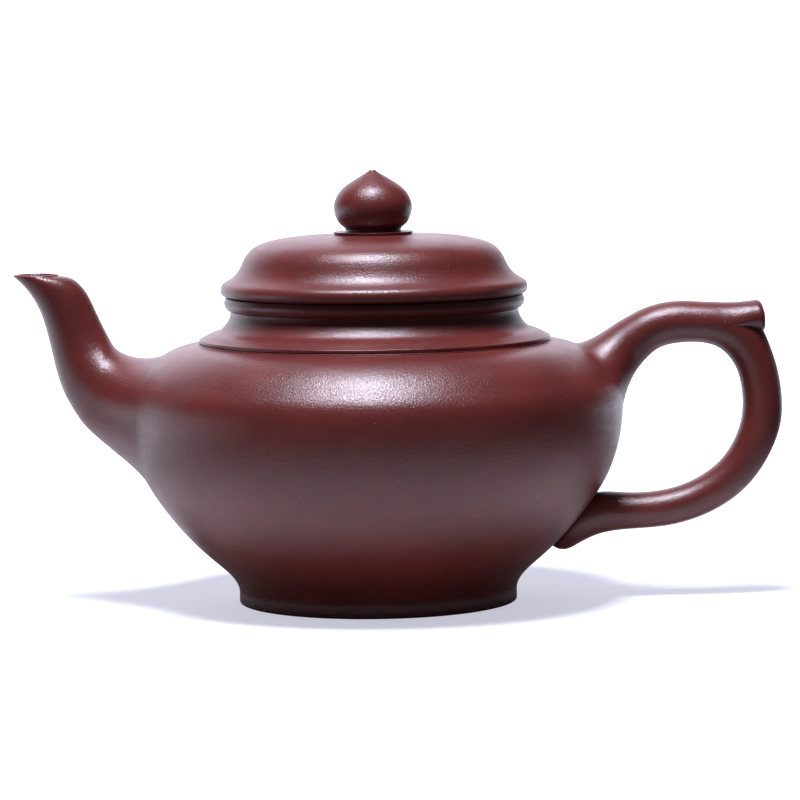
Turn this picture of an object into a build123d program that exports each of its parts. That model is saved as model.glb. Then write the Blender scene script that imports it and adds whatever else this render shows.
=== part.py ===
"""Yixing clay teapot: a squat round pot with an S-shaped spout, a loop handle with a thumb spur,
and a loose lid with a bead knob.

Millimetres. +Z is up, and the origin is on the pot's axis in the plane it stands on. The spout points
to -X and the handle to +X. Every piece of clay that the potter makes and lutes on is a solid of its own.
"""

import math
import os

from build123d import *

# Heights above the table of the planes where the rings and discs of the pot are luted together
FOOT_TOP = 3.25
FLOOR_TOP = 6.05
SHOULDER_BASE = 53.5
NECK_BASE = 56.3
LIP_BASE = 59.85
SEAT = 62.85

# Radii of the pot's outside
FOOT_RADIUS = 28.5
BELLY_RADIUS = 50.6
BELLY_HEIGHT = 40.05
PLATE_RADIUS = 35.9
NECK_RADIUS = 29.45
LIP_RADIUS = 30.7

# Inside of the pot and of the foot
MOUTH_RADIUS = 26.3
WALL = 2.8
FOOT_WIDTH = 3.6

# Loose lid
LID_JOINT = 66.6
LID_RIM_RADIUS = 31.4
LID_TOP = 75.5
FLANGE_CLEARANCE = 0.25
FLANGE_WALL = 2.6
FLANGE_DEPTH = 6.2
COLLAR_RADIUS = 8.2
COLLAR_HEIGHT = 0.7
COLLAR_BASE = 75.15
KNOB_RADIUS = 8.0
KNOB_TIP = 88.4
VENT_RADIUS = 0.6

# Domed strainer luted over the spout's hole inside the belly
STRAINER_CENTRE = (-46.6, 0, 39.85)
STRAINER_RADIUS = 9.0
STRAINER_WALL = 1.3
STRAINER_HOLE_RADIUS = 0.9
STRAINER_RINGS = ((0, 1), (22, 6), (43, 12), (62, 16))  # angle off the dome's axis, holes in the ring

# Sections through the spout, from its mouth to its root: front x, z, back x, z, half width
SPOUT_SECTIONS = (
    (-73.8, 67.85, -64.2, 67.95, 4.3),
    (-71.4, 65.45, -60.9, 66.45, 4.8),
    (-69.1, 62.15, -58.5, 63.35, 5.1),
    (-67.5, 58.05, -56.6, 59.35, 5.4),
    (-66.5, 53.85, -54.9, 55.75, 5.8),
    (-65.4, 49.05, -52.6, 52.85, 6.6),
    (-63.4, 43.55, -48.8, 51.25, 8.2),
    (-59.0, 37.05, -44.6, 49.85, 10.6),
    (-52.6, 31.05, -41.0, 48.05, 12.6),
    (-45.0, 26.25, -36.5, 45.65, 13.4),
)
CHANNEL_SECTIONS = (
    (-74.9, 70.05, -67.0, 70.05, 3.3),
    (-72.7, 67.85, -65.1, 67.95, 3.3),
    (-70.3, 64.85, -62.2, 65.85, 3.6),
    (-67.8, 61.55, -59.9, 62.65, 3.8),
    (-66.0, 57.55, -58.1, 58.65, 4.0),
    (-64.8, 53.15, -56.5, 54.75, 4.3),
    (-63.3, 48.35, -54.7, 51.45, 4.8),
    (-61.2, 43.85, -52.6, 48.55, 5.4),
    (-58.0, 39.45, -49.8, 46.85, 6.3),
    (-53.6, 35.45, -46.8, 45.85, 6.9),
    (-45.6, 33.65, -42.6, 45.25, 6.9),
)

# Sections through the handle, from its upper root to its tail: outer x, z, inner x, z, half width
HANDLE_SECTIONS = (
    (40.4, 50.25, 48.2, 39.45, 8.0),
    (46.2, 54.35, 52.2, 43.65, 6.4),
    (52.2, 58.05, 55.7, 49.35, 5.2),
    (59.6, 60.45, 61.0, 51.95, 4.8),
    (67.6, 60.55, 66.9, 52.15, 4.7),
    (76.2, 58.05, 71.0, 50.45, 4.6),
    (80.7, 52.1, 73.8, 46.6, 4.5),
    (82.9, 44.25, 75.1, 42.3, 4.4),
    (83.1, 36.65, 75.0, 37.05, 4.3),
    (81.0, 29.85, 73.4, 32.25, 4.2),
    (76.2, 23.05, 70.2, 27.65, 4.2),
    (69.0, 17.65, 65.0, 24.15, 4.1),
    (59.6, 14.65, 58.2, 21.85, 4.0),
    (50.6, 13.85, 50.4, 21.55, 4.1),
    (44.4, 12.75, 43.2, 21.05, 4.4),
    (40.8, 10.75, 38.6, 17.05, 4.2),
    (38.0, 9.85, 36.4, 13.05, 3.2),
    (35.7, 10.45, 35.2, 11.45, 1.6),
)

# Sections through the thumb spur, from where it leaves the loop to its blunt end:
# top x, z, bottom x, z, half width
SPUR_SECTIONS = (
    (65.0, 60.65, 65.0, 58.45, 2.2),
    (69.5, 60.45, 69.5, 57.05, 3.7),
    (74.5, 60.4, 74.6, 56.05, 4.3),
    (79.6, 60.65, 80.1, 55.55, 4.3),
)


def rail_plane(front, back):
    """The plane across the XZ plane that holds both points, with its x axis from back to front."""
    middle = (front + back) / 2
    along = (front - back).normalized()
    return Plane(origin=middle, x_dir=along, z_dir=along.cross(Vector(0, 1, 0)))


def lofted(sections):
    """A solid lofted through ellipses that each span two rails in the XZ plane."""
    with BuildPart() as body:
        for front_x, front_z, back_x, back_z, half_width in sections:
            front = Vector(front_x, 0, front_z)
            back = Vector(back_x, 0, back_z)
            with BuildSketch(rail_plane(front, back)):
                Ellipse((front - back).length / 2, half_width)
        loft()
    return body


def save(builder, label):
    """Labels a finished piece and writes its STEP file."""
    builder.part.label = label
    export_step(builder.part, f"parts/{label}.step")


def slab(builder, label, low, high):
    """Saves the stretch of a turned body between two heights, as the luted piece named label."""
    with BuildPart() as piece:
        add(builder.part)
        if low is not None:
            split(bisect_by=Plane.XY.offset(low), keep=Keep.TOP)
        if high is not None:
            split(bisect_by=Plane.XY.offset(high), keep=Keep.BOTTOM)
    save(piece, label)


def turned(outline):
    """A solid of revolution about Z, from the half outline that outline() draws.

    The outline starts in the YZ plane, so the surface's seam is clear of the spout and the handle.
    """
    with BuildPart() as body:
        with BuildSketch(Plane.YZ):
            with BuildLine():
                outline()
            make_face()
        revolve(axis=Axis.Z)
    return body


def pot_outline():
    """Half outline of the pot's outside: foot, belly, raised shoulder plate, neck and lip."""
    foot_edge = 0.5
    foot_wall = 2.2
    groove = 0.35
    Line((0, 0), (FOOT_RADIUS - foot_edge, 0))
    RadiusArc((FOOT_RADIUS - foot_edge, 0), (FOOT_RADIUS, foot_edge), -foot_edge)
    Line((FOOT_RADIUS, foot_edge), (FOOT_RADIUS, foot_wall))
    Spline(
        (FOOT_RADIUS, foot_wall),
        (29.6, 5.1),
        (32.8, 8.3),
        (37.6, 12.7),
        (43.0, 19.05),
        (47.3, 25.65),
        (49.9, 33.25),
        (BELLY_RADIUS, BELLY_HEIGHT),
        (49.5, 46.0),
        (46.4, 49.9),
        (41.4, 52.4),
        (PLATE_RADIUS + 0.3, SHOULDER_BASE - 0.25),
        tangents=((0, 1), (-1, 0.1)),
    )
    Line((PLATE_RADIUS + 0.3, SHOULDER_BASE - 0.25), (PLATE_RADIUS - groove, SHOULDER_BASE))
    Line((PLATE_RADIUS - groove, SHOULDER_BASE), (PLATE_RADIUS, SHOULDER_BASE + groove))
    Line((PLATE_RADIUS, SHOULDER_BASE + groove), (PLATE_RADIUS, SHOULDER_BASE + 0.7))
    Spline(
        (PLATE_RADIUS, SHOULDER_BASE + 0.7),
        (35.0, 55.1),
        (33.4, 55.5),
        (31.65, 56.15),
        (30.3, 57.5),
        (29.65, 58.75),
        (NECK_RADIUS, LIP_BASE),
        tangents=((0, 1), (-0.05, 1)),
    )
    ThreePointArc((NECK_RADIUS, LIP_BASE), (LIP_RADIUS, 61.55), (LIP_RADIUS - 0.35, SEAT))
    Line((LIP_RADIUS - 0.35, SEAT), (0, SEAT))
    Line((0, SEAT), (0, 0))


def cavity_outline():
    """Half outline of the space for the tea, from the flat floor to past the mouth."""
    floor_radius = 22.0
    past_mouth = SEAT + 5
    Line((0, FLOOR_TOP), (floor_radius, FLOOR_TOP))
    Spline(
        (floor_radius, FLOOR_TOP),
        (30.6, 9.25),
        (36.4, 14.85),
        (41.8, 21.85),
        (45.8, 30.25),
        (BELLY_RADIUS - WALL, BELLY_HEIGHT),
        (46.2, 45.5),
        (41.6, 48.9),
        (33.4, 50.6),
        (27.6, 52.5),
        (MOUTH_RADIUS, 55.4),
        tangents=((1, 0.08), (0, 1)),
    )
    Line((MOUTH_RADIUS, 55.4), (MOUTH_RADIUS, past_mouth))
    Line((MOUTH_RADIUS, past_mouth), (0, past_mouth))
    Line((0, past_mouth), (0, FLOOR_TOP))


def foot_recess_outline():
    """Half outline of the shallow recess inside the foot ring."""
    inner = FOOT_RADIUS - FOOT_WIDTH
    draft = 0.5
    Polyline((0, -1), (inner + draft, -1), (inner - draft, FOOT_TOP), (0, FOOT_TOP), close=True)


def lid_outline():
    """Half outline of the lid's outside, from its seat to the crown of the dome."""
    seat_radius = LID_RIM_RADIUS - 1.0
    Line((0, SEAT), (seat_radius, SEAT))
    ThreePointArc((seat_radius, SEAT), (LID_RIM_RADIUS, 64.75), (30.8, 65.95))
    Spline(
        (30.8, 65.95),
        (29.4, 66.65),
        (28.2, 67.65),
        (27.2, 69.1),
        (26.35, 70.85),
        (24.8, 72.6),
        (21.6, 74.0),
        (15.0, 75.0),
        (0, LID_TOP),
        tangents=((-1, 0.3), (-1, 0)),
    )
    Line((0, LID_TOP), (0, SEAT))


def lid_hollow_outline():
    """Half outline of the hollow under the lid."""
    opening = MOUTH_RADIUS - FLANGE_CLEARANCE - FLANGE_WALL
    crown = LID_TOP - 3.0
    below_seat = SEAT - 1
    Line((0, below_seat), (opening, below_seat))
    Line((opening, below_seat), (opening, SEAT + 3.2))
    Spline(
        (opening, SEAT + 3.2),
        (22.3, 69.2),
        (16.0, 71.5),
        (0, crown),
        tangents=((0, 1), (-1, 0)),
    )
    Line((0, crown), (0, below_seat))


def flange_outline():
    """Half outline of the ring under the lid that keeps it central in the mouth."""
    outer = MOUTH_RADIUS - FLANGE_CLEARANCE
    inner = outer - FLANGE_WALL
    lead_in = 0.5
    bottom = SEAT - FLANGE_DEPTH
    Polyline(
        (inner + lead_in, bottom),
        (outer - lead_in, bottom),
        (outer, bottom + 2 * lead_in),
        (outer, SEAT),
        (inner, SEAT),
        (inner, bottom + lead_in),
        close=True,
    )


def knob_outline():
    """Half outline of the bead knob, from its waist on the collar to its point."""
    base = COLLAR_BASE + COLLAR_HEIGHT
    waist = 5.7
    Line((VENT_RADIUS, base), (waist, base))
    Spline(
        (waist, base),
        (5.75, 76.4),
        (7.05, 77.8),
        (KNOB_RADIUS, 81.0),
        (7.05, 83.8),
        (4.25, 86.25),
        (2.1, 87.5),
        (VENT_RADIUS, KNOB_TIP),
        tangents=((-0.3, 1), (-1, 0.5)),
    )
    Line((VENT_RADIUS, KNOB_TIP), (VENT_RADIUS, base))


os.makedirs("parts", exist_ok=True)

# The turned wall of the pot, whose slabs are the luted discs and rings
pot_outside = turned(pot_outline)
cavity = turned(cavity_outline)
foot_recess = turned(foot_recess_outline)
with BuildPart() as pot_wall:
    add(pot_outside.part)
    add(cavity.part, mode=Mode.SUBTRACT)
    add(foot_recess.part, mode=Mode.SUBTRACT)

slab(pot_wall, "foot_ring", None, FOOT_TOP)
slab(pot_wall, "base_disc", FOOT_TOP, FLOOR_TOP)
slab(pot_wall, "shoulder_plate", SHOULDER_BASE, NECK_BASE)
slab(pot_wall, "neck_ring", NECK_BASE, LIP_BASE)
slab(pot_wall, "mouth_lip", LIP_BASE, SEAT)

# The channel that carries the tea from the belly to the spout's mouth
channel = lofted(CHANNEL_SECTIONS)

with BuildPart() as belly_wall:
    add(pot_wall.part)
    split(bisect_by=Plane.XY.offset(FLOOR_TOP), keep=Keep.TOP)
    split(bisect_by=Plane.XY.offset(SHOULDER_BASE), keep=Keep.BOTTOM)
    add(channel.part, mode=Mode.SUBTRACT)
save(belly_wall, "belly_wall")

with BuildPart() as spout:
    add(lofted(SPOUT_SECTIONS).part)
    add(pot_outside.part, mode=Mode.SUBTRACT)
    add(channel.part, mode=Mode.SUBTRACT)
save(spout, "spout")

# The strainer is the part of a thin ball that lies inside the belly, pierced with rings of holes
with BuildPart() as strainer:
    with Locations(Plane(origin=STRAINER_CENTRE, z_dir=(1, 0, 0))):
        Sphere(STRAINER_RADIUS)
        Sphere(STRAINER_RADIUS - STRAINER_WALL, mode=Mode.SUBTRACT)
    add(cavity.part, mode=Mode.INTERSECT)
    for tilt, count in STRAINER_RINGS:
        for index in range(count):
            turn = 360 * index / count
            outward = Vector(
                math.cos(math.radians(tilt)),
                math.sin(math.radians(tilt)) * math.cos(math.radians(turn)),
                math.sin(math.radians(tilt)) * math.sin(math.radians(turn)),
            )
            with Locations(Plane(origin=STRAINER_CENTRE, z_dir=outward)):
                Cylinder(
                    STRAINER_HOLE_RADIUS,
                    STRAINER_RADIUS + 1,
                    align=(Align.CENTER, Align.CENTER, Align.MIN),
                    mode=Mode.SUBTRACT,
                )
save(strainer, "spout_strainer")

with BuildPart() as handle_loop:
    add(lofted(HANDLE_SECTIONS).part)
    add(pot_outside.part, mode=Mode.SUBTRACT)
save(handle_loop, "handle_loop")

with BuildPart() as handle_spur:
    add(lofted(SPUR_SECTIONS).part)
    add(handle_loop.part, mode=Mode.SUBTRACT)
save(handle_spur, "handle_spur")

# The lid's turned shell, whose slabs are the flared rim and the dome
with BuildPart() as lid_shell:
    add(turned(lid_outline).part)
    add(turned(lid_hollow_outline).part, mode=Mode.SUBTRACT)
    with Locations((0, 0, SEAT)):
        Cylinder(
            VENT_RADIUS,
            LID_TOP,
            align=(Align.CENTER, Align.CENTER, Align.MIN),
            mode=Mode.SUBTRACT,
        )
    with Locations((0, 0, COLLAR_BASE)):
        Cylinder(
            COLLAR_RADIUS,
            COLLAR_HEIGHT,
            align=(Align.CENTER, Align.CENTER, Align.MIN),
            mode=Mode.SUBTRACT,
        )
slab(lid_shell, "lid_rim", None, LID_JOINT)
slab(lid_shell, "lid_dome", LID_JOINT, None)

save(turned(flange_outline), "lid_flange")

with BuildPart() as knob_collar:
    with Locations((0, 0, COLLAR_BASE)):
        Cylinder(COLLAR_RADIUS, COLLAR_HEIGHT, align=(Align.CENTER, Align.CENTER, Align.MIN))
    fillet(knob_collar.edges().filter_by(GeomType.CIRCLE).sort_by(Axis.Z)[-1], 0.25)
    with Locations((0, 0, COLLAR_BASE)):
        Cylinder(
            VENT_RADIUS,
            COLLAR_HEIGHT,
            align=(Align.CENTER, Align.CENTER, Align.MIN),
            mode=Mode.SUBTRACT,
        )
save(knob_collar, "knob_collar")

save(turned(knob_outline), "lid_knob")
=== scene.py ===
"""Looks of the yixing clay teapot: burnished unglazed clay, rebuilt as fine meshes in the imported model's frame."""
import math

import bpy
import numpy as np
from mathutils import Matrix, Vector


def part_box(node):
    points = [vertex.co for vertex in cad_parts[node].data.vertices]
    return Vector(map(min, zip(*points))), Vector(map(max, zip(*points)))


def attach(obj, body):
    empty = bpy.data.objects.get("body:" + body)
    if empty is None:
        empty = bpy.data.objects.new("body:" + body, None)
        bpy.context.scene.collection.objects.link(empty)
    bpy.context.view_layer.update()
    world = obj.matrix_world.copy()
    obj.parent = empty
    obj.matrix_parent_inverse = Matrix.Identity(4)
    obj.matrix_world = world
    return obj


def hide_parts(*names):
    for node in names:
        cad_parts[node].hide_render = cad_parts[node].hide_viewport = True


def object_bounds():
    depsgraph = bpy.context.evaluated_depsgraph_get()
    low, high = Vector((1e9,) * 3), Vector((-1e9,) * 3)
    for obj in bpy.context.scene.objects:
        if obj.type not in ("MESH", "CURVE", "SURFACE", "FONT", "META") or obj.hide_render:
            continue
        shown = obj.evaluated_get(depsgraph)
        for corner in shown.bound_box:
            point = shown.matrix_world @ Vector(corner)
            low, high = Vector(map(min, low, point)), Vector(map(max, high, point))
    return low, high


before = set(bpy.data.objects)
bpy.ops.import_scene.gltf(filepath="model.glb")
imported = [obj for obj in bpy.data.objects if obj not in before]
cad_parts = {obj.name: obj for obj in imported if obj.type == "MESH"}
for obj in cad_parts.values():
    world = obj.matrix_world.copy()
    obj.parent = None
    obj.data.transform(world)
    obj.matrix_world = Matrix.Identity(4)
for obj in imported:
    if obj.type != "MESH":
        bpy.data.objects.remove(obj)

cad_low, cad_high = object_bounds()

MM = 0.001
COLUMNS = 320  # points round a turned piece
RING = 96  # points round the spout and the handle
ROW = 0.55  # mm between the rows of a turned piece
FINE = 0.05  # mm between the points that an outline is first drawn with


# ---------------------------------------------------------------- sizes in mm, read from the frame or given


def span(node):
    """A turned node's outer radius and its lowest and highest levels."""
    low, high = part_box(node)
    return high.y / MM, low.z / MM, high.z / MM


_, _, FOOT_TOP = span("foot_ring")
_, _, FLOOR_TOP = span("base_disc")
BELLY_RADIUS, _, SHOULDER_BASE = span("belly_wall")
PLATE_RADIUS, _, NECK_BASE = span("shoulder_plate")
_, _, LIP_BASE = span("neck_ring")
LIP_RADIUS, _, SEAT = span("mouth_lip")
RIM_RADIUS, _, LID_JOINT = span("lid_rim")
_, _, LID_TOP = span("lid_dome")
FLANGE_RADIUS, FLANGE_BOTTOM, _ = span("lid_flange")
COLLAR_RADIUS, COLLAR_BASE, COLLAR_TOP = span("knob_collar")
KNOB_RADIUS, _, KNOB_TIP = span("lid_knob")
FOOT_RADIUS = 28.5
FOOT_WIDTH = 3.6
NECK_RADIUS = 29.45
MOUTH_RADIUS = 26.3
WALL = 2.8
FLANGE_WALL = 2.6
VENT_RADIUS = 0.6
POUR_HOLE = (6.5, 5.6)  # half width and half height of the belly's hole under the spout
POUR_HOLE_LEVEL = 39.65
PLATE_BEAD = 0.3  # how far the belly's last turn stands out past the shoulder plate
LID_CLEARANCE = 0.02  # gap under the rim, which turns on the flange
RIM_TURN = 65.8  # level where the lid's rim rounds over into its dome


# ---------------------------------------------------------------- curves


def unit(v):
    """v, or each row of v, at length 1."""
    v = np.asarray(v, float)
    return v / np.maximum(np.linalg.norm(v, axis=-1, keepdims=True), 1e-12)


def curve(points, start=None, end=None, step=FINE):
    """Points about a step apart on the smooth curve through points, leaving along start and arriving along end."""
    p = np.array(points, float)
    h = np.linalg.norm(np.diff(p, axis=0), axis=1)
    n = len(p)
    lhs, rhs = np.zeros((n, n)), np.zeros_like(p)
    for i in range(1, n - 1):
        lhs[i, i - 1 : i + 2] = 1 / h[i - 1], 2 / h[i - 1] + 2 / h[i], 1 / h[i]
        rhs[i] = 3 * ((p[i] - p[i - 1]) / h[i - 1] ** 2 + (p[i + 1] - p[i]) / h[i] ** 2)
    lhs[0, 0], lhs[-1, -1] = 1, 1
    if start is None:
        lhs[0, 1], rhs[0] = 0.5, 1.5 * (p[1] - p[0]) / h[0]
    else:
        rhs[0] = unit(start)
    if end is None:
        lhs[-1, -2], rhs[-1] = 0.5, 1.5 * (p[-1] - p[-2]) / h[-1]
    else:
        rhs[-1] = unit(end)
    slope = np.linalg.solve(lhs, rhs)
    made = []
    for i in range(n - 1):
        t = np.linspace(0, 1, max(2, math.ceil(h[i] / step) + 1))[:-1, None]
        made.append(hermite(p[i], slope[i] * h[i], p[i + 1], slope[i + 1] * h[i], t))
    return np.vstack([*made, p[-1:]])


def hermite(p0, m0, p1, m1, t):
    """The cubic from p0 to p1 that leaves with velocity m0 and arrives with velocity m1."""
    return (
        (2 * t**3 - 3 * t**2 + 1) * p0
        + (t**3 - 2 * t**2 + t) * m0
        + (3 * t**2 - 2 * t**3) * p1
        + (t**3 - t**2) * m1
    )


def soft_line(points, radius):
    """The polyline through points with each corner rounded off over about radius."""
    p = np.array(points, float)
    made = [p[:1]]
    for before, corner, after in zip(p, p[1:], p[2:]):
        into, out = before - corner, after - corner
        reach = min(radius, np.linalg.norm(into) / 2, np.linalg.norm(out) / 2)
        a, b = corner + unit(into) * reach, corner + unit(out) * reach
        t = np.linspace(0, 1, 9)[:, None]
        made.append((1 - t) ** 2 * a + 2 * t * (1 - t) * corner + t**2 * b)
    return np.vstack([*made, p[-1:]])


def with_normals(points):
    """Rows of r, z and the outward normal, for an outline that runs with the clay on its left."""
    p = np.array(points, float)
    along = unit(np.gradient(p, axis=0))
    return np.column_stack([p, along[:, 1], -along[:, 0]])


def lengths(rows):
    """How far along the outline each row is."""
    steps = np.linalg.norm(np.diff(rows[:, :2], axis=0), axis=1)
    return np.concatenate([[0], np.cumsum(steps)])


def at(rows, where):
    """Rows at those distances along the outline."""
    far = lengths(rows)
    made = np.column_stack([np.interp(where, far, rows[:, k]) for k in range(4)])
    made[:, 2:] = unit(made[:, 2:])
    return made


def thinned(rows, count=None):
    """The same stretch with rows about ROW apart, or with count of them, closer where it bends."""
    turn = np.linalg.norm(np.diff(rows[:, 2:], axis=0), axis=1)
    cost = np.diff(lengths(rows)) / ROW + turn / 0.09
    total = np.concatenate([[0], np.cumsum(cost)])
    count = count or max(2, math.ceil(total[-1]) + 1)
    return at(rows, np.interp(np.linspace(0, total[-1], count), total, lengths(rows)))


def between(rows, low, high):
    """The stretch of a rising outline between two levels."""
    far = lengths(rows)
    ends = np.interp([low, high], rows[:, 1], far)
    inside = far[(far > ends[0]) & (far < ends[1])]
    return at(rows, np.concatenate([ends[:1], inside, ends[1:]]))


# ---------------------------------------------------------------- meshes


def grid_normals(points):
    """Normals of a surface given as rows of closed rings, pointing along d(ring) x d(row)."""
    round_ring = np.roll(points, -1, axis=1) - np.roll(points, 1, axis=1)
    return unit(np.cross(round_ring, np.gradient(points, axis=0)))


def skin(name, patches, closed=True, hole=None):
    """A closed mesh of rings. patches is a list of (points, normals), each rows x ring x 3, in mm.

    Each patch starts on the last ring of the one before, and its own normals make the edge between them.
    If closed, the last ring is the first one. If not, the first and last rings are single points.
    hole is a mask of the first patch's cells that are cut through to the third patch, row for row.
    """
    size = patches[0][0].shape[1]
    vertices, ring_of = [], []
    total = 0
    for k, (points, _) in enumerate(patches):
        ids = [ring_of[-1][-1]] if k else []
        for i in range(len(ids), len(points)):
            last = k == len(patches) - 1 and i == len(points) - 1
            pole = not closed and ((k == 0 and i == 0) or last)
            if closed and last:
                ids.append(ring_of[0][0] if ring_of else ids[0])
                continue
            vertices.append(points[i, :1] if pole else points[i])
            ids.append((total, pole))
            total += 1 if pole else size
        ring_of.append(ids)
    vertices = np.vstack(vertices) * MM
    faces, corners = [], []
    j, k1 = np.arange(size), (np.arange(size) + 1) % size
    for k, (points, normals) in enumerate(patches):
        for i in range(len(points) - 1):
            (a, a_pole), (b, b_pole) = ring_of[k][i], ring_of[k][i + 1]
            keep = np.ones(size, bool)
            if hole is not None and k in (0, 2):
                keep = ~hole[i if k == 0 else len(hole) - 1 - i]
            near, far = normals[i], normals[i + 1]
            if a_pole:
                ids, parts = [np.full(size, a), b + k1, b + j], [near, far[k1], far]
            elif b_pole:
                ids, parts = [a + j, a + k1, np.full(size, b)], [near, near[k1], far]
            else:
                ids, parts = [a + j, a + k1, b + k1, b + j], [near, near[k1], far[k1], far]
            faces.append(np.stack(ids, 1)[keep])
            corners.append(np.stack(parts, 1)[keep])
    if hole is not None:
        walls = hole_walls(hole, [r[0] for r in ring_of[0]], [r[0] for r in ring_of[2]][::-1], size)
        faces.append(walls)
        corners.append(np.zeros((*walls.shape, 3)))
    return finished(name, vertices, faces, corners)


def hole_walls(hole, outer, inner, size):
    """Quads that join the two skins of a wall round the cells that hole drops."""
    made = []
    for i, j in np.argwhere(hole):
        k = (j + 1) % size
        if not hole[i - 1, j]:
            made.append((outer[i] + j, outer[i] + k, inner[i] + k, inner[i] + j))
        if not hole[i + 1, j]:
            made.append((outer[i + 1] + k, outer[i + 1] + j, inner[i + 1] + j, inner[i + 1] + k))
        if not hole[i, j - 1]:
            made.append((outer[i + 1] + j, outer[i] + j, inner[i] + j, inner[i + 1] + j))
        if not hole[i, k]:
            made.append((outer[i] + k, outer[i + 1] + k, inner[i + 1] + k, inner[i] + k))
    return np.array(made)


def finished(name, vertices, faces, corners):
    """The mesh object, facing outwards, with the normals that its corners were given."""
    volume = sum(
        np.einsum("ij,ij->", vertices[f[:, 0]], np.cross(vertices[f[:, k]], vertices[f[:, k + 1]]))
        for f in faces
        for k in range(1, f.shape[1] - 1)
    )
    if volume < 0:
        faces = [f[:, ::-1] for f in faces]
        corners = [-c[:, ::-1] for c in corners]
    mesh = bpy.data.meshes.new(name)
    mesh.from_pydata(vertices.tolist(), [], [f for group in faces for f in group.tolist()])
    mesh.polygons.foreach_set("use_smooth", np.ones(len(mesh.polygons), bool))
    mesh.normals_split_custom_set(np.concatenate([c.reshape(-1, 3) for c in corners]))
    mesh.update()
    piece = bpy.data.objects.new(name, mesh)
    bpy.context.scene.collection.objects.link(piece)
    return piece


def spun(rows):
    """A stretch of outline as a patch: its points and its normals, turned about the pot's axis."""
    turn = np.linspace(0, 2 * math.pi, COLUMNS, endpoint=False)
    c, s = np.cos(turn), np.sin(turn)

    def spin(r, z):
        return np.stack([np.outer(r, c), np.outer(r, s), np.outer(z, np.ones(COLUMNS))], -1)

    return spin(rows[:, 0], rows[:, 1]), spin(rows[:, 2], rows[:, 3])


def turned(name, stretches, hole=None, closed=True):
    """A turned piece, from the stretches of its outline in order, with the clay on their left."""
    return skin(name, [spun(rows) for rows in stretches], closed=closed, hole=hole)


def flat(a, b):
    """A straight stretch of outline."""
    return with_normals([a, b])


# ---------------------------------------------------------------- outlines of the turned pieces, r and z in mm


def belly_curve():
    """The outside of the foot and the belly, from the table to the plate on the shoulder."""
    bead = PLATE_RADIUS + PLATE_BEAD
    points = [
        (FOOT_RADIUS, 2.2),
        (29.6, 5.1),
        (32.8, 8.3),
        (37.6, 12.7),
        (43.0, 19.05),
        (47.3, 25.65),
        (49.9, 33.25),
        (BELLY_RADIUS - 0.03, 40.05),
        (49.8, 44.2),
        (48.3, 46.4),
        (46.3, 48.65),
        (44.0, 50.6),
        (41.4, 52.1),
        (bead, SHOULDER_BASE - 0.25),
    ]
    foot = soft_line([(FOOT_RADIUS - 1, 0), (FOOT_RADIUS, 0), (FOOT_RADIUS, 2.2)], 0.5)
    belly = curve(points, start=(0, 1), end=(-1, 0.1))
    groove = soft_line([belly[-1], (bead, SHOULDER_BASE), (PLATE_RADIUS - 0.35, SHOULDER_BASE)], 0.2)
    return with_normals(np.vstack([foot[:-1], belly, groove[1:]]))


def cavity_curve():
    """The inside of the belly, from the floor's edge up to the neck's inner wall."""
    points = [
        (22.0, FLOOR_TOP),
        (30.6, 9.25),
        (36.4, 14.85),
        (41.8, 21.85),
        (45.8, 30.25),
        (BELLY_RADIUS - WALL, 40.05),
        (46.2, 45.5),
        (41.6, 48.9),
        (33.4, 50.6),
        (27.6, 52.5),
        (MOUTH_RADIUS, 55.4),
    ]
    return with_normals(curve(points, start=(1, 0.08), end=(0, 1)))


def neck_curve():
    """The outside above the groove: the plate's edge and top, the neck and the lip."""
    edge = soft_line(
        [
            (PLATE_RADIUS - 0.35, SHOULDER_BASE),
            (PLATE_RADIUS, SHOULDER_BASE + 0.12),
            (PLATE_RADIUS, SHOULDER_BASE + 0.78),
            (PLATE_RADIUS - 0.7, SHOULDER_BASE + 1.12),
        ],
        0.14,
    )
    slope = curve(
        [edge[-1], (33.4, 55.5), (31.65, 56.15), (30.3, 57.5), (29.65, 58.75), (NECK_RADIUS, LIP_BASE)],
        start=(-1, 0.5),
        end=(-0.05, 1),
    )
    return with_normals(np.vstack([edge, slope[1:]]))


def lip_curve():
    """The rounded lip, from the crease above the neck to the seat."""
    top = LIP_RADIUS - 0.35
    bead = curve(
        [(29.75, LIP_BASE + 0.25), (LIP_RADIUS - 0.2, LIP_BASE + 1.0), (LIP_RADIUS, 61.65), (top, SEAT - 0.12)],
        start=(1, 0.35),
        end=(-0.6, 1),
    )
    crease = soft_line([(NECK_RADIUS, LIP_BASE), (NECK_RADIUS, LIP_BASE + 0.12), bead[0]], 0.08)
    return with_normals(np.vstack([crease, bead[1:]]))


def rim_curve():
    """The lid's flared rim, from the seat up to the dome."""
    under = RIM_RADIUS - 1.15
    return with_normals(
        curve(
            [(under, SEAT + 0.12), (RIM_RADIUS - 0.35, 63.3), (RIM_RADIUS, 64.45), (31.15, 65.25), (30.6, RIM_TURN)],
            start=(1, 0.25),
            end=(-1, 0.6),
        )
    )


def dome_curve():
    """The lid from its rim's shoulder to the crown, with the rim's last turn on it."""
    return with_normals(
        curve(
            [
                (30.6, RIM_TURN),
                (29.4, 66.5),
                (28.2, 67.55),
                (27.2, 69.1),
                (26.35, 70.85),
                (24.8, 72.6),
                (21.6, 74.0),
                (15.0, 74.95),
                (COLLAR_RADIUS - 0.4, LID_TOP - 0.2),
            ],
            start=(-1, 0.6),
            end=(-1, 0.06),
        )
    )


def hollow_curve():
    """The hollow under the lid, from its crown down to the flange."""
    opening = FLANGE_RADIUS - FLANGE_WALL
    return with_normals(
        curve(
            [(VENT_RADIUS, LID_TOP - 3), (16.0, 71.5), (22.3, 69.2), (opening, SEAT + 3.2)],
            start=(1, 0),
            end=(0, -1),
        )
    )


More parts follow.
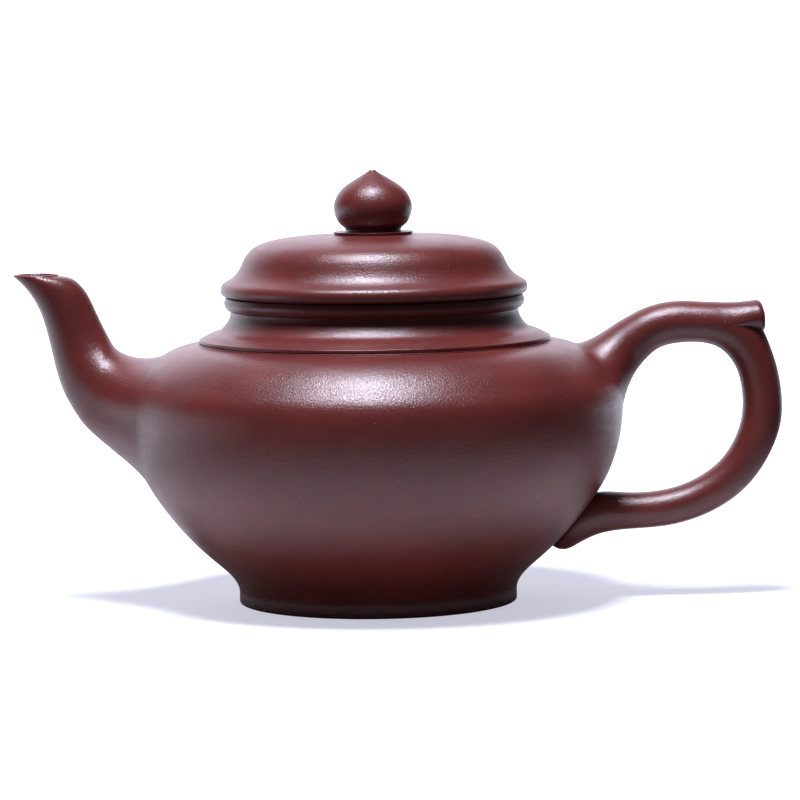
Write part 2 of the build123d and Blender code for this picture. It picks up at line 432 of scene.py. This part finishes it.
def knob_curve():
    """The bead knob, from its waist on the collar to the point."""
    return with_normals(
        curve(
            [
                (5.8, COLLAR_TOP),
                (5.65, COLLAR_TOP + 0.35),
                (6.4, 77.1),
                (7.4, 78.35),
                (KNOB_RADIUS - 0.03, 80.95),
                (7.45, 82.95),
                (6.1, 84.75),
                (4.15, 86.15),
                (2.1, 87.4),
                (VENT_RADIUS + 0.1, KNOB_TIP - 0.12),
            ],
            start=(-1, 1.5),
            end=(-1, 0.8),
        )
    )


belly_rows = belly_curve()
neck_rows = neck_curve()
cavity_rows = cavity_curve()


# ---------------------------------------------------------------- turned pieces


def foot_ring():
    outer = FOOT_RADIUS - FOOT_WIDTH
    draft = 0.5
    outside = thinned(with_normals(belly_rows[belly_rows[:, 1] <= FOOT_TOP, :2]))
    inside = with_normals(
        soft_line([(outer - draft, FOOT_TOP), (outer + draft / 2, 0), (FOOT_RADIUS - 1, 0)], 0.5)
    )
    top = flat(outside[-1, :2], inside[0, :2])
    return turned("foot_ring_clay", [outside, top, thinned(inside)])


def base_disc():
    edge = thinned(between(belly_rows, FOOT_TOP, FLOOR_TOP))
    under = flat((0, FOOT_TOP), edge[0, :2])
    over = flat(edge[-1, :2], (0, FLOOR_TOP))
    return turned("base_disc_clay", [under, edge, over], closed=False)


def belly_wall():
    """The round wall, with as many rows inside as outside so that its hole can be cut through both."""
    rows = 118
    outside = thinned(between(belly_rows, FLOOR_TOP, SHOULDER_BASE), rows)
    inside = thinned(between(cavity_rows, FLOOR_TOP, SHOULDER_BASE), rows)[::-1]
    inside[:, 2:] *= -1
    turn = np.linspace(0, 2 * math.pi, COLUMNS, endpoint=False) + math.pi / COLUMNS
    level = (outside[1:, 1] + outside[:-1, 1]) / 2
    side = BELLY_RADIUS * (turn - math.pi)
    half_width, half_height = POUR_HOLE
    hole = np.hypot(side[None, :] / half_width, (level[:, None] - POUR_HOLE_LEVEL) / half_height) < 1
    top = flat(outside[-1, :2], inside[0, :2])
    bottom = flat(inside[-1, :2], outside[0, :2])
    return turned("belly_wall_clay", [outside, top, inside, bottom], hole=hole)


def neck_piece(name, low, high):
    """The ring of the shoulder or the neck between two levels."""
    outside = thinned(between(neck_rows, low, high))
    inside = thinned(between(cavity_rows, low, high)) if low < cavity_rows[-1, 1] else None
    if inside is None or high > cavity_rows[-1, 1]:
        tail = flat((MOUTH_RADIUS, max(low, cavity_rows[-1, 1])), (MOUTH_RADIUS, high))
        inside = tail if inside is None else np.vstack([inside, tail[1:]])
    inside = inside[::-1].copy()
    inside[:, 2:] *= -1
    top = flat(outside[-1, :2], inside[0, :2])
    bottom = flat(inside[-1, :2], outside[0, :2])
    return turned(name, [outside, top, inside, bottom])


def mouth_lip():
    outside = thinned(lip_curve())
    over = soft_line([outside[-1, :2], (LIP_RADIUS - 0.7, SEAT), (MOUTH_RADIUS, SEAT), (MOUTH_RADIUS, SEAT - 0.6)], 0.4)
    inside = flat((MOUTH_RADIUS, SEAT - 0.6), (MOUTH_RADIUS, LIP_BASE))
    under = flat((MOUTH_RADIUS, LIP_BASE), outside[0, :2])
    return turned("mouth_lip_clay", [outside, with_normals(over), inside, under])


def lid_rim():
    opening = FLANGE_RADIUS - FLANGE_WALL
    lower = between(dome_curve(), RIM_TURN, LID_JOINT)
    outside = thinned(np.vstack([rim_curve()[:-1], lower]))
    over = flat(outside[-1, :2], (opening, LID_JOINT))
    inside = flat((opening, LID_JOINT), (opening, SEAT))
    under = with_normals(soft_line([(opening, SEAT), (RIM_RADIUS - 1.6, SEAT), outside[0, :2]], 0.3))
    return turned("lid_rim_clay", [outside, over, inside, under])


def lid_dome():
    outside = thinned(between(dome_curve(), LID_JOINT, LID_TOP))
    crown = flat(outside[-1, :2], (VENT_RADIUS, COLLAR_BASE))
    vent = flat((VENT_RADIUS, COLLAR_BASE), (VENT_RADIUS, LID_TOP - 3))
    hollow = hollow_curve()
    opening = hollow[-1, 0]
    hollow = np.vstack([hollow, with_normals([(opening, LID_JOINT - 0.3), (opening, LID_JOINT)])[1:]])
    hollow = hollow[hollow[:, 1] >= LID_JOINT - 1e-6]
    under = flat((opening, LID_JOINT), outside[0, :2])
    return turned("lid_dome_clay", [outside, crown, vent, thinned(hollow), under])


def lid_flange():
    top = SEAT - LID_CLEARANCE
    inner = FLANGE_RADIUS - FLANGE_WALL
    outline = soft_line(
        [
            (inner, top),
            (inner, FLANGE_BOTTOM),
            (FLANGE_RADIUS, FLANGE_BOTTOM),
            (FLANGE_RADIUS, top),
        ],
        0.8,
    )
    return turned("lid_flange_clay", [with_normals(outline), flat((FLANGE_RADIUS, top), (inner, top))])


def knob_collar():
    edge = soft_line([(COLLAR_RADIUS - 0.45, COLLAR_BASE), (COLLAR_RADIUS, COLLAR_TOP), (5, COLLAR_TOP)], 0.12)
    over = flat((5, COLLAR_TOP), (VENT_RADIUS, COLLAR_TOP))
    vent = flat((VENT_RADIUS, COLLAR_TOP), (VENT_RADIUS, COLLAR_BASE))
    under = flat((VENT_RADIUS, COLLAR_BASE), edge[0])
    return turned("knob_collar_clay", [with_normals(edge), over, vent, under])


def lid_knob():
    outside = thinned(knob_curve())
    tip = with_normals(soft_line([outside[-1, :2], (VENT_RADIUS, KNOB_TIP), (VENT_RADIUS, KNOB_TIP - 0.8)], 0.2))
    vent = flat((VENT_RADIUS, KNOB_TIP - 0.8), (VENT_RADIUS, COLLAR_TOP))
    under = flat((VENT_RADIUS, COLLAR_TOP), outside[0, :2])
    return turned("lid_knob_clay", [outside, tip, vent, under])


# ---------------------------------------------------------------- spout and handle

# Sections of the spout, mouth to root: front x, z, back x, z, half width, in mm
SPOUT_SECTIONS = (
    (-73.75, 67.65, -64.4, 67.65, 4.2),
    (-71.9, 65.95, -62.0, 67.15, 4.7),
    (-70.2, 63.85, -60.1, 65.75, 5.0),
    (-68.4, 60.55, -58.3, 63.15, 5.2),
    (-67.2, 56.85, -56.9, 60.05, 5.35),
    (-66.3, 53.05, -55.9, 57.85, 5.6),
    (-65.4, 48.85, -55.2, 56.35, 6.1),
    (-63.7, 43.55, -54.5, 54.95, 7.2),
    (-60.6, 38.15, -53.8, 53.55, 9.0),
)
CHANNEL_SECTIONS = (
    (-72.6, 67.65, -65.4, 67.65, 3.2),
    (-71.0, 65.85, -63.4, 66.65, 3.5),
    (-69.3, 63.55, -61.4, 64.65, 3.7),
    (-67.2, 60.05, -59.3, 61.35, 3.9),
    (-65.7, 56.25, -57.7, 57.85, 4.1),
    (-64.6, 52.15, -56.2, 54.35, 4.4),
    (-63.0, 47.45, -54.4, 51.15, 4.9),
    (-60.2, 42.45, -51.8, 48.05, 5.6),
    (-55.6, 37.45, -48.8, 46.25, 6.2),
    (-48.2, 34.25, -47.0, 45.05, 6.3),
)

# Sections of the handle, upper root to tail: outer x, z, inner x, z, half width, in mm
HANDLE_SECTIONS = (
    (50.2, 56.85, 54.3, 47.65, 5.3),
    (55.6, 59.55, 57.8, 50.95, 4.9),
    (61.5, 60.75, 62.2, 52.15, 4.75),
    (67.6, 60.55, 66.9, 52.15, 4.7),
    (73.6, 59.7, 70.3, 51.1, 4.65),
    (78.0, 57.0, 72.4, 49.3, 4.6),
    (80.4, 52.7, 73.9, 46.9, 4.55),
    (82.2, 47.4, 74.8, 43.9, 4.5),
    (83.25, 41.2, 75.2, 40.2, 4.45),
    (83.1, 36.0, 74.9, 36.4, 4.4),
    (81.1, 29.95, 73.4, 32.05, 4.3),
    (76.3, 22.85, 70.2, 27.55, 4.2),
    (69.2, 17.65, 65.2, 24.05, 4.1),
    (60.0, 14.65, 58.6, 21.9, 4.1),
    (51.0, 13.9, 50.6, 21.55, 4.2),
    (45.0, 12.85, 44.0, 21.35, 4.5),
    (41.0, 10.95, 39.2, 18.05, 4.3),
    (38.6, 9.95, 36.8, 13.85, 3.3),
    (37.0, 10.1, 35.6, 11.85, 2.2),
    (36.1, 10.6, 35.4, 11.25, 1.0),
)


def swept(sections, step=0.8):
    """Rows of rings of points, with smooth rails through the sections."""
    rails = curve(sections, step=step)
    front = np.column_stack([rails[:, 0], 0 * rails[:, 0], rails[:, 1]])
    back = np.column_stack([rails[:, 2], 0 * rails[:, 0], rails[:, 3]])
    turn = np.linspace(0, 2 * math.pi, RING, endpoint=False)
    across = np.array((0, 1, 0))
    middle, half = (front + back) / 2, (front - back) / 2
    return (
        middle[:, None]
        + half[:, None] * np.cos(turn)[None, :, None]
        + rails[:, 4, None, None] * np.sin(turn)[None, :, None] * across
    )


belly_far = lengths(belly_rows)


def on_belly(turn, along, depth=0.0):
    """Points on the belly's outside, by the angle about the pot's axis and the distance up the outline."""
    r, z, nr, nz = (np.interp(along, belly_far, belly_rows[:, k]) for k in range(4))
    r, z = r - depth * nr, z - depth * nz
    return np.stack([r * np.cos(turn), r * np.sin(turn), z], -1)


def oval(side, front_z, back_z, spread, lean=0.0, scale=1.0, depth=0.0):
    """A closed line on the belly round a limb's root, on the side -1 of the spout or +1 of the handle.

    lean makes it wider towards its back, and narrower towards its front.
    """
    turn = np.linspace(0, 2 * math.pi, RING, endpoint=False)
    front, back = np.interp([front_z, back_z], belly_rows[:, 1], belly_far)
    along = (front + back) / 2 + scale * (front - back) / 2 * np.cos(turn)
    angle = side * scale * spread * np.sin(turn) * (1 - lean * np.cos(turn)) + (math.pi if side < 0 else 0)
    return on_belly(angle, along, depth)


def pull_round(front, side, back):
    """A value for each point of a ring, from its front, its sides and its back."""
    turn = np.linspace(0, 2 * math.pi, RING, endpoint=False)
    c2 = np.cos(turn) ** 2
    return (np.where(np.cos(turn) > 0, front, back) * c2 + side * (1 - c2))[:, None]


def skirt(rings, landing, outside, leave, arrive, rows=44):
    """Rows from the last ring down to the landing line on the belly, tangent to both."""
    p0, p1 = rings[-1], landing
    reach = np.linalg.norm(p1 - p0, axis=1, keepdims=True)
    m0 = unit(rings[-1] - rings[-2]) * reach * leave
    m1 = unit(outside - landing) * reach * arrive
    t = np.linspace(0, 1, rows)[1:, None, None]
    return hermite(p0, m0, p1, m1, t)


def melted(points, normals, zone):
    """Normals that turn into the belly's own where a limb's skin comes within zone mm of it."""
    radius = np.hypot(points[..., 0], points[..., 1])
    use = belly_rows[::8]  # every 0.4 mm or so of the belly's outline
    gap = np.full(radius.shape, 1e9)
    near = np.zeros(radius.shape, int)
    for k, (r, z) in enumerate(use[:, :2]):
        d = np.hypot(radius - r, points[..., 2] - z)
        near = np.where(d < gap, k, near)
        gap = np.minimum(gap, d)
    nr, nz = use[near, 2], use[near, 3]
    height = (radius - use[near, 0]) * nr + (points[..., 2] - use[near, 1]) * nz
    belly = np.stack([nr * points[..., 0] / radius, nr * points[..., 1] / radius, nz], -1)
    share = np.clip(1 - height / zone, 0, 1)[..., None]
    share = share * share * (3 - 2 * share)
    facing = np.sign(np.sum(belly * normals, -1, keepdims=True))
    return unit(normals * (1 - share) + belly * facing * share)


def spout():
    outer = swept(SPOUT_SECTIONS)
    place = dict(side=-1, front_z=24.6, back_z=51.2, spread=0.5, lean=0.25)
    landing, outside = oval(**place), oval(**place, scale=1.03)
    root = skirt(outer, landing, outside, leave=pull_round(0.7, 0.85, 0.9), arrive=pull_round(0.7, 0.9, 0.9))
    channel = swept(CHANNEL_SECTIONS)
    inner_edge, outer_edge = channel[0], outer[0]
    t = np.linspace(0, math.pi, 9)[1:-1, None, None]
    middle, half = (inner_edge + outer_edge) / 2, (inner_edge - outer_edge) / 2
    rim_height = 0.35
    rim = middle + half * np.cos(t) + np.array((0, 0, rim_height)) * np.sin(t)
    skin_rows = np.concatenate([channel[::-1], rim, outer, root]).astype(float)
    sunk = oval(**place, scale=0.94, depth=0.6)
    inside = np.stack([landing, sunk, channel[-1]])
    normals = melted(skin_rows, grid_normals(skin_rows), zone=1.2)
    return skin("spout_clay", [(skin_rows, normals), (inside, grid_normals(inside))])


def handle_loop():
    tube = swept(HANDLE_SECTIONS)
    place = dict(side=1, front_z=52.5, back_z=38.25, spread=0.21)
    landing, outside = oval(**place), oval(**place, scale=1.03)
    root = skirt(tube[::-1], landing, outside, leave=pull_round(0.8, 0.9, 0.9), arrive=pull_round(0.8, 0.6, 0.8))
    tail = np.repeat(tube[-1].mean(0)[None, None], RING, axis=1)
    skin_rows = np.concatenate([root[::-1], tube, tail])
    sunk = oval(**place, scale=0.9, depth=0.6)
    centre = np.repeat(oval(**place, scale=0.0, depth=0.9)[None, :1], RING, axis=1)
    inside = np.concatenate([centre, sunk[None], landing[None]])
    normals = melted(skin_rows, grid_normals(skin_rows), zone=0.2)
    normals[-1] = unit(skin_rows[-1] - skin_rows[-6].mean(0))
    return skin("handle_loop_clay", [(inside, grid_normals(inside)), (skin_rows, normals)], closed=False)


# Sections of the thumb spur: top x, z, widest x, z, underside x, z, half width, in mm
SPUR_SECTIONS = (
    (61.6, 60.55, 62.0, 56.45, 62.1, 55.45, 4.6),
    (66.6, 60.6, 66.6, 56.35, 66.5, 55.25, 4.68),
    (70.8, 60.4, 70.4, 55.8, 69.8, 54.4, 4.66),
    (74.2, 60.4, 74.0, 56.2, 73.6, 54.3, 4.62),
    (76.4, 60.6, 76.6, 57.0, 76.6, 54.4, 4.55),
    (77.9, 60.75, 78.5, 57.5, 78.8, 54.1, 4.4),
)


def handle_spur():
    """The spur with a rounded edge and a nearly flat end."""
    rails = curve(SPUR_SECTIONS, step=0.5)
    turn = np.linspace(0, 2 * math.pi, RING, endpoint=False)
    top, wide, under = (np.column_stack([rails[:, k], 0 * rails[:, k], rails[:, k + 1]]) for k in (0, 2, 4))
    c, s = np.cos(turn)[None, :, None], np.sin(turn)[None, :, None]
    lift = np.where(c > 0, (top - wide)[:, None] * c, (wide - under)[:, None] * c)
    rings = wide[:, None] + lift + rails[:, 6, None, None] * s * np.array((0, 1, 0))
    rings[0] = rings[0].mean(0)
    forward = unit(np.cross(under[-1] - top[-1], (0, 1, 0)))
    end, middle = rings[-1], rings[-1].mean(0)
    t = np.linspace(0, math.pi / 2, 9)[1:, None, None]
    edge = 1.2  # radius that the end is rounded to
    crown = 0.3  # how far the middle of the end stands out past its edge
    out = unit(end - middle)
    rounded = end - out * edge * (1 - np.cos(t)) + forward * edge * np.sin(t)
    flat_end = middle + forward * (edge + 0.22) + (rounded[-1] - middle - forward * edge) * 0.5
    tip = np.repeat((middle + forward * (edge + crown))[None, None], RING, axis=1)
    rows = np.concatenate([rings, rounded, flat_end[None], tip])
    normals = grid_normals(rows)
    normals[-1] = unit(normals[-2].mean(0))
    normals[0] = -normals[-1]
    return skin("handle_spur_clay", [(rows, normals)], closed=False)


# ---------------------------------------------------------------- clay


class Nodes:
    """Short ways to add the shader nodes of one material."""

    def __init__(self, name):
        self.material = bpy.data.materials.new(name)
        self.material.use_nodes = True
        self.tree = self.material.node_tree
        self.shader = self.tree.nodes["Principled BSDF"]
        self.place = self.tree.nodes.new("ShaderNodeTexCoord").outputs["Object"]

    def add(self, kind, inputs=(), **settings):
        node = self.tree.nodes.new(kind)
        for key, value in settings.items():
            setattr(node, key, value)
        for key, value in dict(inputs).items():
            self.put(node.inputs[key], value)
        return node

    def put(self, socket, value):
        if isinstance(value, bpy.types.NodeSocket):
            self.tree.links.new(value, socket)
        else:
            socket.default_value = value

    def noise(self, size, detail=2.0, roughness=0.5, stretch=(1, 1, 1)):
        """Noise from 0 to 1 with features about size metres across."""
        place = self.add("ShaderNodeMapping", {"Vector": self.place, "Scale": stretch}).outputs[0]
        inputs = {"Vector": place, "Scale": 1 / size, "Detail": detail, "Roughness": roughness}
        return self.add("ShaderNodeTexNoise", inputs).outputs["Fac"]

    def ramp(self, value, low, high, to_low=0.0, to_high=1.0):
        inputs = {"Value": value, "From Min": low, "From Max": high, "To Min": to_low, "To Max": to_high}
        return self.add("ShaderNodeMapRange", inputs).outputs[0]

    def math(self, operation, a, b=0.0):
        return self.add("ShaderNodeMath", {0: a, 1: b}, operation=operation).outputs[0]

    def mix(self, share, a, b):
        inputs = {0: share, 6: a, 7: b}
        return self.add("ShaderNodeMix", inputs, data_type="RGBA").outputs[2]

    def specks(self, spacing, radius, amount):
        """1 inside scattered dots of that radius, in that share of the cells."""
        cells = self.add("ShaderNodeTexVoronoi", {"Vector": self.place, "Scale": 1 / spacing})
        near = self.ramp(cells.outputs["Distance"], radius / spacing, 0.6 * radius / spacing)
        tint = self.add("ShaderNodeSeparateColor", {0: cells.outputs["Color"]}).outputs[0]
        return self.math("MULTIPLY", near, self.math("LESS_THAN", tint, amount))

    def bump(self, height, depth, strength=1.0, after=None):
        inputs = {"Height": height, "Distance": depth, "Strength": strength}
        if after is not None:
            inputs["Normal"] = after
        return self.add("ShaderNodeBump", inputs).outputs[0]


def zisha(name, roughness, grain_depth, tone):
    """Fired purple-brown clay: sandy grain, hand-burnished facets, light mica specks and dark iron ones."""
    n = Nodes(name)
    grain = n.noise(0.00038, detail=3.0, roughness=0.6)
    sand = n.noise(0.0009, detail=2.0)
    cloud = n.noise(0.012, detail=3.0)
    strokes = n.noise(0.009, detail=2.0, stretch=(1, 1, 7))
    facets = n.noise(0.005, detail=1.0)
    mica = n.specks(0.0021, 0.00011, 0.22)
    iron = n.specks(0.0016, 0.00013, 0.3)

    deep, warm = [(*[c * tone for c in rgb], 1) for rgb in ((0.104, 0.0155, 0.0125), (0.138, 0.0210, 0.0170))]
    colour = n.mix(n.ramp(cloud, 0.32, 0.68), deep, warm)
    colour = n.mix(n.ramp(sand, 0.35, 0.75, 0.0, 0.16), colour, (0.17 * tone, 0.030 * tone, 0.022 * tone, 1))
    colour = n.mix(n.math("MULTIPLY", iron, 0.6), colour, (0.03, 0.008, 0.007, 1))
    colour = n.mix(n.math("MULTIPLY", mica, 0.75), colour, (0.62, 0.42, 0.33, 1))
    n.put(n.shader.inputs["Base Color"], colour)

    varied = n.math("ADD", n.ramp(grain, 0.3, 0.7, -0.05, 0.05), n.ramp(strokes, 0.3, 0.7, -0.03, 0.03))
    n.put(n.shader.inputs["Roughness"], n.math("ADD", varied, roughness))
    n.put(n.shader.inputs["IOR"], 1.6)

    normal = n.bump(facets, 0.00016, strength=0.5)
    normal = n.bump(strokes, 0.00006, strength=0.25, after=normal)
    normal = n.bump(grain, grain_depth, after=normal)
    n.put(n.shader.inputs["Normal"], normal)
    return n.material


burnished = zisha("burnished_clay", roughness=0.34, grain_depth=0.00008, tone=1.0)
matt = zisha("inside_clay", roughness=0.62, grain_depth=0.00015, tone=0.95)


# ---------------------------------------------------------------- the object

PIECES = {
    "pot": (
        (foot_ring, "foot_ring", "pot_clay"),
        (base_disc, "base_disc", "inner_clay"),
        (belly_wall, "belly_wall", "pot_clay"),
        (lambda: neck_piece("shoulder_plate_clay", SHOULDER_BASE, NECK_BASE), "shoulder_plate", "pot_clay"),
        (lambda: neck_piece("neck_ring_clay", NECK_BASE, LIP_BASE), "neck_ring", "pot_clay"),
        (mouth_lip, "mouth_lip", "pot_clay"),
        (spout, "spout", "pot_clay"),
        (handle_loop, "handle_loop", "pot_clay"),
        (handle_spur, "handle_spur", "pot_clay"),
    ),
    "lid_guide": ((lid_flange, "lid_flange", "lid_clay"),),
    "lid": (
        (lid_rim, "lid_rim", "lid_clay"),
        (lid_dome, "lid_dome", "lid_clay"),
        (knob_collar, "knob_collar", "lid_clay"),
        (lid_knob, "lid_knob", "lid_clay"),
    ),
}

for body, members in PIECES.items():
    for make, node, slot in members:
        piece = make()
        piece.data.materials.append(burnished)
        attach(piece, body)
        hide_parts(node)

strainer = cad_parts["spout_strainer"]
strainer.data.materials.clear()
strainer.data.materials.append(matt)


# ---------------------------------------------------------------- stage, light and camera


COOL = (0.84, 0.855, 1.0)  # the colour of every light
WHITE_SWEEP = 1.3  # how bright the sweep looks, and the far table, which looks white to the camera by a painted glow
PATCH = (0.085, 0.15)  # metres from the middle over which the pale patch of table turns near-black, while its painted glow for the camera rises to full


def floor():
    """A table top, pale round the pot and near-black further out, with painted light on it: a glow that only the camera
    sees, which lightens the pot's shadow and makes the whole table look white, and a glow behind the pot.
    """
    n = Nodes("pale_floor_painted_glow")
    away = n.add("ShaderNodeVectorMath", {0: n.place}, operation="LENGTH").outputs["Value"]
    n.put(n.shader.inputs["Base Color"], n.mix(n.ramp(away, *PATCH), (0.64, 0.64, 0.64, 1), (0.05, 0.05, 0.05, 1)))
    n.put(n.shader.inputs["Roughness"], 0.7)
    n.put(n.shader.inputs["Specular IOR Level"], 0.0)
    n.put(n.shader.inputs["Emission Color"], (*COOL, 1))
    # Painted light: for camera rays only, the table glows from 0.62 by the pot, which lightens the pot's cast shadow,
    # up to full white further out.
    seen = n.add("ShaderNodeLightPath").outputs["Is Camera Ray"]
    shown = n.math("MULTIPLY", n.ramp(away, *PATCH, 0.62, WHITE_SWEEP), seen)
    # Painted light: a glow on the table behind the pot, which every ray sees and which lights the pot from the back.
    toward_back = {0: n.place, 1: (-0.45, 0.89, 0)}
    across = n.add("ShaderNodeVectorMath", toward_back, operation="DOT_PRODUCT").outputs["Value"]
    behind = n.math("MULTIPLY", n.ramp(away, PATCH[0], 0.2), n.ramp(across, -0.02, 0.2, 0.0, 2.0))
    n.put(n.shader.inputs["Emission Strength"], n.math("MAXIMUM", shown, behind))
    half = 40.0  # metres, far enough for its edge to be lost in the sweep
    mesh = bpy.data.meshes.new("floor")
    mesh.from_pydata([(-half, -half, 0), (half, -half, 0), (half, half, 0), (-half, half, 0)], [], [(0, 1, 2, 3)])
    mesh.materials.append(n.material)
    obj = bpy.data.objects.new("floor", mesh)
    bpy.context.scene.collection.objects.link(obj)


def softbox(name, toward, distance, size, radiance):
    """An area light that faces the middle of the pot, on its side toward. radiance is how bright its face is."""
    light = bpy.data.lights.new(name, "AREA")
    light.shape = "RECTANGLE"
    light.size, light.size_y = size
    light.energy = radiance * size[0] * size[1] * math.pi
    light.color = COOL
    obj = bpy.data.objects.new(name, light)
    way = Vector(toward).normalized()
    obj.location = (cad_low + cad_high) / 2 + way * distance
    obj.rotation_euler = way.to_track_quat("Z", "Y").to_euler()
    obj.visible_camera = False
    bpy.context.scene.collection.objects.link(obj)


def studio_air():
    """A white sweep behind the pot, and the dark of the room in front of it for the clay to reflect."""
    world = bpy.data.worlds.new("studio")
    bpy.context.scene.world = world
    world.use_nodes = True
    tree = world.node_tree
    back = tree.nodes["Background"]
    way = tree.nodes.new("ShaderNodeTexCoord").outputs["Generated"]
    behind = tree.nodes.new("ShaderNodeVectorMath")
    behind.operation = "DOT_PRODUCT"
    tree.links.new(way, behind.inputs[0])
    behind.inputs[1].default_value = (-0.22, 0.96, 0.17)
    glow = tree.nodes.new("ShaderNodeMapRange")
    glow.interpolation_type = "SMOOTHSTEP"
    tree.links.new(behind.outputs["Value"], glow.inputs["Value"])
    for key, value in (("From Min", 0.6), ("From Max", 1.0), ("To Min", 0.05), ("To Max", 2.0)):
        glow.inputs[key].default_value = value
    seen = tree.nodes.new("ShaderNodeLightPath").outputs["Is Camera Ray"]
    level = tree.nodes.new("ShaderNodeMix")
    tree.links.new(seen, level.inputs[0])
    tree.links.new(glow.outputs[0], level.inputs[2])
    level.inputs[3].default_value = WHITE_SWEEP
    tree.links.new(level.outputs[0], back.inputs["Strength"])
    back.inputs["Color"].default_value = (*COOL, 1)


floor()
studio_air()
softbox("key", toward=(-0.07, -0.22, 0.973), distance=1.0, size=(0.30, 0.25), radiance=80.0)
softbox("ceiling", toward=(-0.05, -0.10, 1.0), distance=1.15, size=(1.1, 1.1), radiance=0.3)

CAMERA_DISTANCE = 0.82
CAMERA_ELEVATION = math.radians(5.2)
CAMERA_ROLL = math.radians(-0.8)


def camera():
    """A long lens at the height of the lid, level with the spout and handle, turned a touch off plumb."""
    middle = (cad_low + cad_high) / 2
    aim = Vector((middle.x + 0.24 * MM, 0, middle.z - 3.02 * MM))
    data = bpy.data.cameras.new("camera")
    data.lens = 180
    data.sensor_width = 36
    obj = bpy.data.objects.new("camera", data)
    away = Vector((0, -math.cos(CAMERA_ELEVATION), math.sin(CAMERA_ELEVATION)))
    obj.location = aim + away * CAMERA_DISTANCE
    turn = (-away).to_track_quat("-Z", "Y").to_matrix()
    obj.rotation_euler = (turn @ Matrix.Rotation(CAMERA_ROLL, 3, "Z")).to_euler()
    bpy.context.scene.collection.objects.link(obj)
    bpy.context.scene.camera = obj


camera()
bpy.context.scene.view_settings.view_transform = "Standard"
